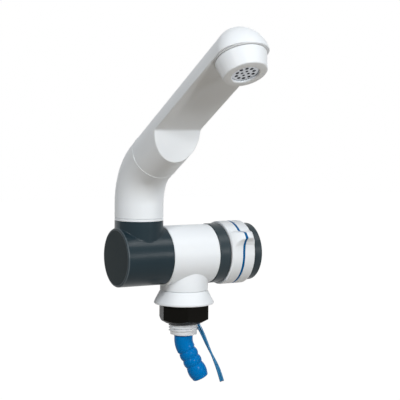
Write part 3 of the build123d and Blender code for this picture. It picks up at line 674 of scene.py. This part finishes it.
@dataclass
class KnobGrip:
    """White grip sleeve with its finger tab, and the blue stripe let into it."""

    axis_height: float = 34.0
    left: float = 26.2
    right: float = 44.4
    radius: float = 22.29
    edge: float = 0.9
    edge_step: int = 15
    bore: float = 18.95
    bore_edge: float = 0.3
    tab_start: float = 100.0
    tab_end: float = 200.0
    tab_top: float = 16.1
    tab_corner: tuple[float, float] = (-27.0, 12.3)
    tab_shoulder: tuple[float, float] = (-23.5, 16.1)
    tab_under: Pairs = (
        (152.0, 34.7), (154.6, 30.1), (156.2, 27.3), (158.2, 25.5), (163.0, 23.6), (169.9, 22.4),
        (182.0, 20.3),
    )
    crest: Pairs = (
        (26.2, 21.6), (27.0, 23.0), (29.0, 25.2), (32.0, 27.5), (35.3, 29.0), (37.5, 29.3), (39.5, 28.8),
        (41.5, 27.4), (43.2, 25.0), (44.4, 22.0),
    )
    least_slope: float = 0.05
    top_blend: float = 1.2
    under_blend: float = 1.4
    crest_blend: float = 1.6
    foot_blend: float = 1.2
    coarse_turn: float = 2.0
    fine_turn: float = 0.4
    fine_start: float = 128.0
    fine_end: float = 174.0
    last_turn: float = 359.9
    plain_rings: int = 17
    left_pitch: float = 0.42
    right_pitch: float = 0.41
    stripe_left: float = 34.4
    stripe_right: float = 36.25
    stripe_depth: float = 0.6
    stripe_gap: float = 0.03
    stripe_floor_gap: float = 0.02
    stripe_crown: Pairs = ((-1.0, 0.12), (-0.8, 0.05), (0.0, 0.03), (0.8, 0.05), (1.0, 0.12))
    lip: float = 0.12
    lip_bend: tuple[float, float] = (0.3, 0.25)

    def tab_radius(self, x: float, bearing: float) -> float:
        """How far the tab's skin is from the knob's axis, whether or not it shows there.

        Args:
            x: Place along the barrel.
            bearing: Angle from +Y towards +Z, in degrees, between the tab's start and end.

        Returns:
            The distance, which is less than the sleeve's radius where there is no tab.
        """
        angle = math.radians(bearing)
        top = self.tab_top / max(math.sin(angle), self.least_slope)
        corner, shoulder = Vector(self.tab_corner), Vector(self.tab_shoulder)
        run = (shoulder - corner).normalized()
        out = Vector((-run.y, run.x))
        front = out.dot(corner) / out.dot(Vector((math.cos(angle), math.sin(angle))))
        under = between(self.tab_under, bearing)
        section = soft_min(soft_min(top, front, self.top_blend), under, self.under_blend)
        return soft_min(section, between(self.crest, x), self.crest_blend)

    def skin(self, x: float, bearing: float) -> float:
        """The grip's outer radius.

        Args:
            x: Place along the barrel.
            bearing: Angle from +Y towards +Z, in degrees.

        Returns:
            The radius with the tab on it.
        """
        if not self.tab_start < bearing < self.tab_end:
            return self.radius
        return soft_max(self.radius, self.tab_radius(x, bearing), self.foot_blend)

    def bearings(self) -> list[float]:
        """List the angles round the knob, closer together at the tab.

        Returns:
            The angles, in degrees.
        """
        angles: list[float] = []
        angle = 0.0
        while angle < self.last_turn:
            angles.append(angle)
            angle += self.fine_turn if self.fine_start <= angle < self.fine_end else self.coarse_turn
        return angles

    def ring(self, x: float, radius_at: Callable[[float], float]) -> list[Vector]:
        """One ring of points round the barrel's axis.

        Args:
            x: Place along the barrel.
            radius_at: Radius for a bearing.

        Returns:
            The points, in millimetres.
        """
        points = []
        for bearing in self.bearings():
            angle, radius = math.radians(bearing), radius_at(bearing)
            points.append(Vector((x, radius * math.cos(angle), self.axis_height + radius * math.sin(angle))))
        return points

    def round_ring(self, x: float, radius: float) -> list[Vector]:
        """A ring of one radius all round."""
        return self.ring(x, lambda bearing: radius)

    def skin_ring(self, x: float, inset: float) -> list[Vector]:
        """A ring that lies an even inset under the skin."""
        return self.ring(x, lambda bearing: self.skin(x, bearing) - inset)

    def plain(self, start: float, pitch: float) -> list[tuple[float, float]]:
        """Evenly spaced places on the skin, from one pitch past the start."""
        return [(start + pitch * step, 0.0) for step in range(1, self.plain_rings + 1)]

    def section(self) -> list[tuple[float, float]]:
        """Place along the barrel and inset from the skin, from rim to rim and down the stripe's groove.

        Returns:
            The places and insets, from left to right.
        """
        turns = [math.radians(step) for step in range(90, -1, -self.edge_step)]
        rim = [(self.edge * (1 - math.sin(turn)), self.edge * (1 - math.cos(turn))) for turn in turns]
        bend, sink = (share * self.lip for share in self.lip_bend)
        groove = [
            (self.stripe_left - self.lip, 0.0),
            (self.stripe_left - bend, sink),
            (self.stripe_left, self.lip),
            (self.stripe_left, self.stripe_depth),
            (self.stripe_right, self.stripe_depth),
            (self.stripe_right, self.lip),
            (self.stripe_right + bend, sink),
            (self.stripe_right + self.lip, 0.0),
        ]
        return [
            *((self.left + depth, inset) for depth, inset in rim),
            *self.plain(self.left + self.edge, self.left_pitch),
            *groove,
            *self.plain(self.stripe_right + self.lip, self.right_pitch),
            *((self.right - depth, inset) for depth, inset in reversed(rim)),
        ]

    def stripe_section(self) -> list[tuple[float, float]]:
        """Place along the barrel and inset from the skin, round the stripe's three free sides.

        Returns:
            The places and insets, from left to right.
        """
        middle = (self.stripe_left + self.stripe_right) / 2
        half = (self.stripe_right - self.stripe_left) / 2 - self.stripe_gap
        inner = self.stripe_depth - self.stripe_floor_gap
        crown = [(middle + share * half, inset) for share, inset in self.stripe_crown]
        return [(middle - half, inner), *crown, (middle + half, inner)]

    def build(self, shop: Workshop) -> None:
        """Make the grip and its stripe.

        Args:
            shop: Where finishes and pieces are made.
        """
        rings = [
            self.round_ring(self.left + self.bore_edge, self.bore),
            self.round_ring(self.left, self.bore + self.bore_edge),
            *(self.skin_ring(x, inset) for x, inset in self.section()),
            self.round_ring(self.right, self.bore + self.bore_edge),
            self.round_ring(self.right - self.bore_edge, self.bore),
        ]
        grip = ring_mesh("grip_shell", rings, True)
        shop.piece("grip_shell", grip, Look.WHITE, "knob", ("knob_grip",))
        strips = [self.skin_ring(x, inset) for x, inset in self.stripe_section()]
        stripe = ring_mesh("stripe_inlay", strips, True)
        shop.piece("stripe_inlay", stripe, Look.STRIPE, "knob", ("blue_stripe",))


@dataclass
class SwitchCable:
    """Twin cable that hangs from the shank's slot and ends in two cut conductors."""

    lean: float = -30.0
    route: Pairs = (
        (8.85, -4.05), (8.85, -13.6), (12.75, -20.2), (17.1, -30.5), (21.95, -40.5), (24.95, -47.4),
        (27.2, -55.1),
    )
    curve_steps: int = 16
    curve_order: int = 3
    core: float = 0.79
    core_sides: int = 15
    web: float = 0.3
    turns: Pairs = ((0.0, 0.0), (0.27, 100.0), (0.63, 180.0), (1.0, 265.0))
    strand: float = 0.13
    strand_end: float = 0.9
    strand_length: float = 0.5
    strand_sides: int = 10
    strand_spacing: float = 2.05
    strands_round: int = 6

    def control_points(self) -> list[Vector]:
        """Place the route's points in the row frame.

        Returns:
            The points, in metres.
        """
        angle = math.radians(self.lean)
        return [
            Vector((out * math.cos(angle), out * math.sin(angle), height)) * MM for out, height in self.route
        ]

    def centreline(self) -> list[Vector]:
        """Read points along the smooth line of the route.

        Returns:
            The points, in metres.
        """
        data = bpy.data.curves.new("cable_route", "CURVE")
        data.dimensions = "3D"
        data.resolution_u = self.curve_steps
        spline = data.splines.new("NURBS")
        points = self.control_points()
        spline.points.add(len(points) - 1)
        for target, point in zip(spline.points, points):
            target.co = (*point, 1.0)
        spline.order_u = self.curve_order
        spline.use_endpoint_u = True
        carrier = bpy.data.objects.new("cable_route", data)
        mesh = bpy.data.meshes.new_from_object(carrier)
        line = [vertex.co.copy() for vertex in mesh.vertices]
        bpy.data.objects.remove(carrier)
        bpy.data.meshes.remove(mesh)
        bpy.data.curves.remove(data)
        return line

    @staticmethod
    def length(line: Sequence[Vector]) -> float:
        """Length of a line of points, in metres."""
        return sum((after - before).length for before, after in zip(line, line[1:]))

    def outline(self) -> list[tuple[float, float]]:
        """Section of the two joined conductors.

        Returns:
            Points across the pair and square to it, round the right conductor and then the left one.
        """
        half = math.asin(self.web / 2 / self.core)
        reach = self.core * math.cos(half)
        sweep = 2 * (math.pi - half)
        right = []
        for step in range(self.core_sides + 1):
            angle = half - math.pi + sweep * step / self.core_sides
            right.append((reach + self.core * math.cos(angle), self.core * math.sin(angle)))
        return right + [(-across, -square) for across, square in right]

    def frames(self, line: Sequence[Vector]) -> list[tuple[Vector, Vector, Vector]]:
        """Place, direction across the pair and direction square to it, at each point of the line.

        Args:
            line: The centreline, in metres.

        Returns:
            One frame for each point, in millimetres.
        """
        angle = math.radians(self.lean)
        side = Vector((-math.sin(angle), math.cos(angle), 0.0))
        total = len(line) - 1
        found = []
        for index, point in enumerate(line):
            ahead = line[min(index + 1, total)] - line[max(index - 1, 0)]
            ahead.normalize()
            square = ahead.cross(side).normalized()
            turn = math.radians(between(self.turns, index / total))
            across = side * math.cos(turn) + square * math.sin(turn)
            found.append((point / MM, across, ahead.cross(across).normalized()))
        return found

    def strand_spots(self) -> list[tuple[float, float]]:
        """Where one conductor's strands lie in its section.

        Returns:
            The middle one's place and those of the strands round it.
        """
        out = self.strand_spacing * self.strand
        turns = [math.tau * index / self.strands_round for index in range(self.strands_round)]
        return [(0.0, 0.0)] + [(out * math.cos(turn), out * math.sin(turn)) for turn in turns]

    def strands(self, place: Vector, across: Vector, square: Vector) -> bpy.types.Mesh:
        """Make the bare strands of both conductors.

        Args:
            place: The cable's end, in millimetres.
            across: Direction across the pair.
            square: Direction square to it.

        Returns:
            Their mesh, in metres.
        """
        turned = across.cross(square).normalized().to_track_quat("Z", "Y").to_matrix().to_4x4()
        build = bmesh.new()
        for side in (-1, 1):
            centre = place + across * (side * self.core)
            for right, up in self.strand_spots():
                base = centre + across * right + square * up
                bmesh.ops.create_cone(
                    build,
                    cap_ends=True,
                    segments=self.strand_sides,
                    radius1=self.strand * MM,
                    radius2=self.strand_end * self.strand * MM,
                    depth=self.strand_length * MM,
                    matrix=Matrix.Translation(base * MM) @ turned,
                )
        return mesh_from("cable_strands", build)

    def build(self, shop: Workshop) -> None:
        """Make the cable and its bare ends.

        Args:
            shop: Where finishes and pieces are made.
        """
        line = self.centreline()
        frames = self.frames(line)
        outline = self.outline()
        rings = [
            [place + across * right + square * up for right, up in outline]
            for place, across, square in frames
        ]
        mesh = ring_mesh("twin_cable", rings, False)
        cable = shop.piece("twin_cable", mesh, Look.SHEATH, "root", ("switch_cable",))
        ends = shop.piece("cable_strands", self.strands(*frames[-1]), Look.COPPER, "root")


@dataclass
class Spout(SubAssembly):
    """Riser, arm, outlet collar and aerator, with the rings inside."""

    finishes: Finishes = (
        (("spout_elbow", "spout_arm", "outlet_collar"), Look.WHITE),
        (("stem_o_rings", "elbow_o_ring", "aerator_washer"), Look.RUBBER),
        (("aerator_cup",), Look.CHROME),
        (("aerator_mesh",), Look.STEEL),
    )
    elbow_corner: tuple[float, float, float] = (-35.25, 0.0, 89.6)
    rise: float = 29.4
    seam_at: float = 27.9
    head_at: float = 148.0
    lip: Pairs = (
        (-0.6, 16.35), (-0.5, 16.55), (-0.2, 16.66), (0.0, 16.73), (0.12, 16.73), (0.25, 16.64), (0.4, 16.5),
        (0.45, 16.3),
    )
    # Section of the grey shim that paints the groove's shade under the head.
    shade_shim: Pairs = (
        (0.73, 14.0), (0.73, 15.73), (0.06, 15.73), (0.06, 15.8), (0.12, 15.84), (0.66, 15.84), (0.8, 15.76),
        (0.8, 14.9), (0.85, 14.7), (0.93, 14.66), (0.97, 14.58), (0.97, 14.0),
    )
    hoop_points: int = 180

    def hoop(
        self, shop: Workshop, name: str, look: Look, foot: Vector, axis: Vector, profile: Pairs
    ) -> None:
        """Make a thin ring round an axis of the spout.

        Args:
            shop: Where finishes and pieces are made.
            name: The piece's name.
            look: Its finish.
            foot: The point of the axis that the profile counts from.
            axis: The axis.
            profile: Place along the axis and radius of each point of the section.
        """
        side = Vector((1.0, 0.0, 0.0))
        up = side.cross(axis)
        turns = [math.tau * index / self.hoop_points for index in range(self.hoop_points)]
        rings = [
            [foot + axis * reach + (side * math.cos(turn) + up * math.sin(turn)) * radius for turn in turns]
            for reach, radius in profile
        ]
        shop.piece(name, ring_mesh(name, rings, True), look, "spout")

    def build(self, shop: Workshop) -> None:
        """Dress the spout, and add the lip of its seam and the grey shim over its collar, which paints the
        shade of the groove there.

        Args:
            shop: Where finishes and pieces are made.
        """
        super().build(shop)
        rise = math.radians(self.rise)
        along = Vector((0.0, -math.cos(rise), math.sin(rise)))
        down = Vector((0.0, -math.sin(rise), -math.cos(rise)))
        corner = Vector(self.elbow_corner)
        self.hoop(shop, "seam_lip", Look.WHITE, corner + along * self.seam_at, along, self.lip)
        # The shim's grey is painted shade of the groove between the head and the collar.
        self.hoop(shop, "collar_shade_shim", Look.GROOVE_SHADE, corner + along * self.head_at, down, self.shade_shim)


@dataclass
class FoldBarrel(SubAssembly):
    """Dark barrel half with its cap, swivel ring and the fold joint's inner parts."""

    finishes: Finishes = (
        (("fold_barrel",), Look.DARK),
        (("barrel_end_cap",), Look.CAP_DARK),
        (("fold_washer", "fold_screw", "swivel_screw"), Look.STEEL),
        (("swivel_ring",), Look.WHITE),
        (("fold_spindle",), Look.NATURAL),
        (("fold_o_rings",), Look.RUBBER),
    )


@dataclass
class CrossBody(SubAssembly):
    """White body, base flange, shank, gasket, nut and hose tail."""

    finishes: Finishes = (
        (("body_shell", "base_flange"), Look.WHITE),
        (("threaded_shank",), Look.SHANK),
        (("deck_gasket", "inlet_o_ring"), Look.RUBBER),
        (("lock_nut",), Look.NUT),
        (("hose_tail",), Look.TAIL),
    )


@dataclass
class Valve(SubAssembly):
    """Cartridge, discs, gland nut and spindle."""

    finishes: Finishes = (
        (("cartridge_body",), Look.NATURAL),
        (("cartridge_seal", "spindle_o_rings"), Look.RUBBER),
        (("fixed_disc", "moving_disc"), Look.CERAMIC),
        (("gland_nut", "valve_spindle"), Look.BRASS),
    )


@dataclass
class Microswitch(SubAssembly):
    """Switch under the knob, its cam and its leads."""

    finishes: Finishes = (
        (("switch_case", "switch_plunger"), Look.CASE),
        (("switch_terminals", "switch_blade"), Look.BRASS),
        (("switch_screws",), Look.STEEL),
        (("switch_leads",), Look.SHEATH),
        (("switch_cam",), Look.NATURAL),
    )


@dataclass
class Knob(SubAssembly):
    """Dark bonnet ring and knob core round the white grip."""

    finishes: Finishes = (
        (("bonnet_ring", "knob_core", "knob_cap_disc"), Look.KNOB_DARK),
        (("knob_screw",), Look.STEEL),
    )

    def build(self, shop: Workshop) -> None:
        """Dress the knob's CAD nodes and build its grip.

        Args:
            shop: Where finishes and pieces are made.
        """
        super().build(shop)
        KnobGrip().build(shop)


@dataclass(frozen=True)
class PhotoCamera:
    """Camera at the photograph's angle.

    Lens and sensor are in millimetres, distances in metres and angles in degrees.
    """

    lens: float = 99.0
    sensor: float = 36.0
    farthest: float = 50.0
    azimuth: float = 29.55
    pitch: float = 3.71
    roll: float = 0.56
    distance: float = 0.76893
    target: tuple[float, float, float] = (0.0122, 0.0, 0.07152)

    def build(self) -> None:
        """Put the camera in the scene."""
        turn, tilt, roll = (math.radians(angle) for angle in (self.azimuth, self.pitch, self.roll))
        ahead = Vector((math.sin(turn) * math.cos(tilt), math.cos(turn) * math.cos(tilt), -math.sin(tilt)))
        level = Vector((math.cos(turn), -math.sin(turn), 0.0))
        upright = level.cross(ahead)
        right = level * math.cos(roll) + upright * math.sin(roll)
        up = upright * math.cos(roll) - level * math.sin(roll)
        data = bpy.data.cameras.new("photo_camera")
        data.sensor_width = self.sensor
        data.lens = self.lens
        data.clip_end = self.farthest
        matrix = Matrix((right, up, -ahead)).transposed().to_4x4()
        matrix.translation = Vector(self.target) - ahead * self.distance
        camera = placed("photo_camera", data)
        camera.matrix_world = matrix
        bpy.context.scene.camera = camera


@dataclass(frozen=True)
class Lamp:
    """One soft round white lamp; degrees, metres and watts."""

    name: str
    bearing: float
    height: float
    distance: float
    size: float
    power: float

    def build(self, aim: Vector) -> None:
        """Put the lamp in the scene.

        Args:
            aim: The point that it looks at.
        """
        turn, rise = math.radians(self.bearing), math.radians(self.height)
        away = Vector((math.sin(turn) * math.cos(rise), -math.cos(turn) * math.cos(rise), math.sin(rise)))
        data = bpy.data.lights.new(self.name, "AREA")
        data.shape = "DISK"
        data.size = self.size
        data.energy = self.power
        lamp = placed(self.name, data)
        lamp.location = aim + away * self.distance
        lamp.rotation_euler = (-away).to_track_quat("-Z", "Y").to_euler()


@dataclass(frozen=True)
class Studio:
    """White studio: a low pale floor, three soft lamps in front and one above, and soft light from behind."""

    sky: Colour = (0.96, 0.98, 1.0)
    fill: float = 0.03
    behind: float = 0.62
    behind_way: tuple[float, float, float] = (0.0, 1.0, 0.0)
    floor_height: float = -1.0
    floor_size: float = 30.0
    floor_cells: int = 8
    floor_colour: Colour = (0.66, 0.585, 0.495)
    floor_white: float = 0.93
    floor_strength: float = 1.09
    aim: tuple[float, float, float] = (-0.01, -0.03, 0.07)
    lamps: tuple[Lamp, ...] = (
        Lamp("key_lamp", -3.0, 19.0, 1.9, 0.26, 17.6),
        Lamp("side_lamp", -62.0, 27.0, 1.9, 0.40, 15.8),
        Lamp("glint_lamp", 31.0, 8.0, 1.6, 0.30, 4.0),
        Lamp("top_lamp", 46.0, 50.0, 1.6, 0.50, 5.6),
    )

    @staticmethod
    def seen(graph: Graph) -> Signal:
        """1 for what the camera, a reflection or a refraction sees, else 0."""
        rays = graph.node("ShaderNodeLightPath", out="Is Camera Ray")
        return (rays + rays.other("Is Glossy Ray") + rays.other("Is Transmission Ray")).clipped()

    def build(self) -> None:
        """Make the world, the floor and the lamps."""
        world = bpy.data.worlds.new("studio")
        world.use_nodes = True
        bpy.context.scene.world = world
        graph = Graph(world.node_tree)
        backdrop = graph.node("ShaderNodeBackground", None, {"Color": PURE_WHITE, "Strength": 1.0})
        bearing = graph.node("ShaderNodeTexCoord", out="Generated")
        back = graph.node(
            "ShaderNodeVectorMath",
            {"operation": "DOT_PRODUCT"},
            {0: bearing, 1: self.behind_way},
            out="Value",
        ).clipped()
        light = graph.node(
            "ShaderNodeBackground",
            None,
            {"Color": opaque(self.sky), "Strength": back * back * self.behind + self.fill},
        )
        mixed = graph.node("ShaderNodeMixShader", None, {0: self.seen(graph), 1: light, 2: backdrop})
        graph.node("ShaderNodeOutputWorld", None, {"Surface": mixed})
        self.floor()
        for lamp in self.lamps:
            lamp.build(Vector(self.aim))

    def floor(self) -> None:
        """Lay the pale floor."""
        material, graph = shaded("pale_floor")
        matt = graph.node("ShaderNodeBsdfDiffuse", None, {"Color": opaque(self.floor_colour)})
        white = graph.node(
            "ShaderNodeEmission", None, {"Color": PURE_WHITE, "Strength": self.floor_strength}
        )
        mixed = graph.node(
            "ShaderNodeMixShader", None, {0: self.seen(graph) * self.floor_white, 1: matt, 2: white}
        )
        graph.node("ShaderNodeOutputMaterial", None, {"Surface": mixed})
        build = bmesh.new()
        bmesh.ops.create_grid(
            build, x_segments=self.floor_cells, y_segments=self.floor_cells, size=self.floor_size / 2
        )
        mesh = mesh_from("floor", build)
        mesh.materials.append(material)
        floor = placed("floor", mesh)
        floor.location.z = self.floor_height


def main() -> None:
    """Build the tap's looks in order."""
    logging.basicConfig(level=logging.INFO, format="%(name)s: %(message)s")
    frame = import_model()
    shop = Workshop(frame)
    PhotoCamera().build()
    SwitchCable().build(shop)
    for part in (Spout(), FoldBarrel(), CrossBody(), Valve(), Microswitch(), Knob()):
        part.build(shop)
    Studio().build()
    bpy.context.scene.view_settings.view_transform = "Standard"


if __name__ == "__main__":
    main()
